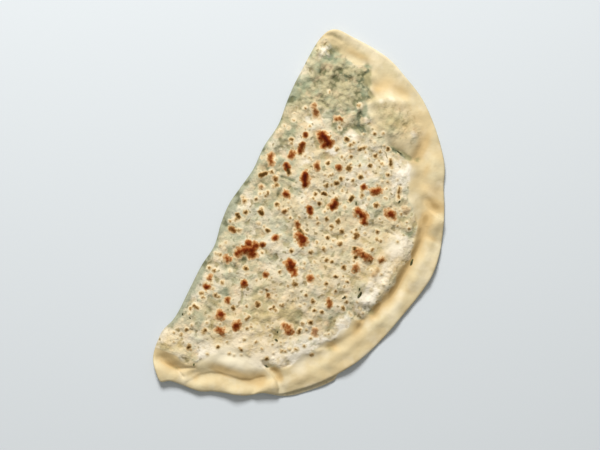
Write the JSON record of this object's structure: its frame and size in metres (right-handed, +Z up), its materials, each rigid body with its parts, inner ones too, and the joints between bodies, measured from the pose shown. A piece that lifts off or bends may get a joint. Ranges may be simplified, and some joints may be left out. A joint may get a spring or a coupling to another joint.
{
  "type": "qutab",
  "caption": "Half-moon griddled flatbread: thin dough folded over chopped greens, its curved rim pressed shut.",
  "frame": {"origin": "middle of the bounding box, on the surface that the part rests on", "axes": "+X along the folded edge, +Y from the fold towards the pressed rim, +Z up through the thickness"},
  "size_m": [0.2302, 0.1264, 0.0088],
  "materials": {
    "baked_dough": "dry, matte and floury, with brown griddle spots"
  },
  "bodies": {
    "root": {"qutab": "baked_dough"}
  },
  "joints": []
}
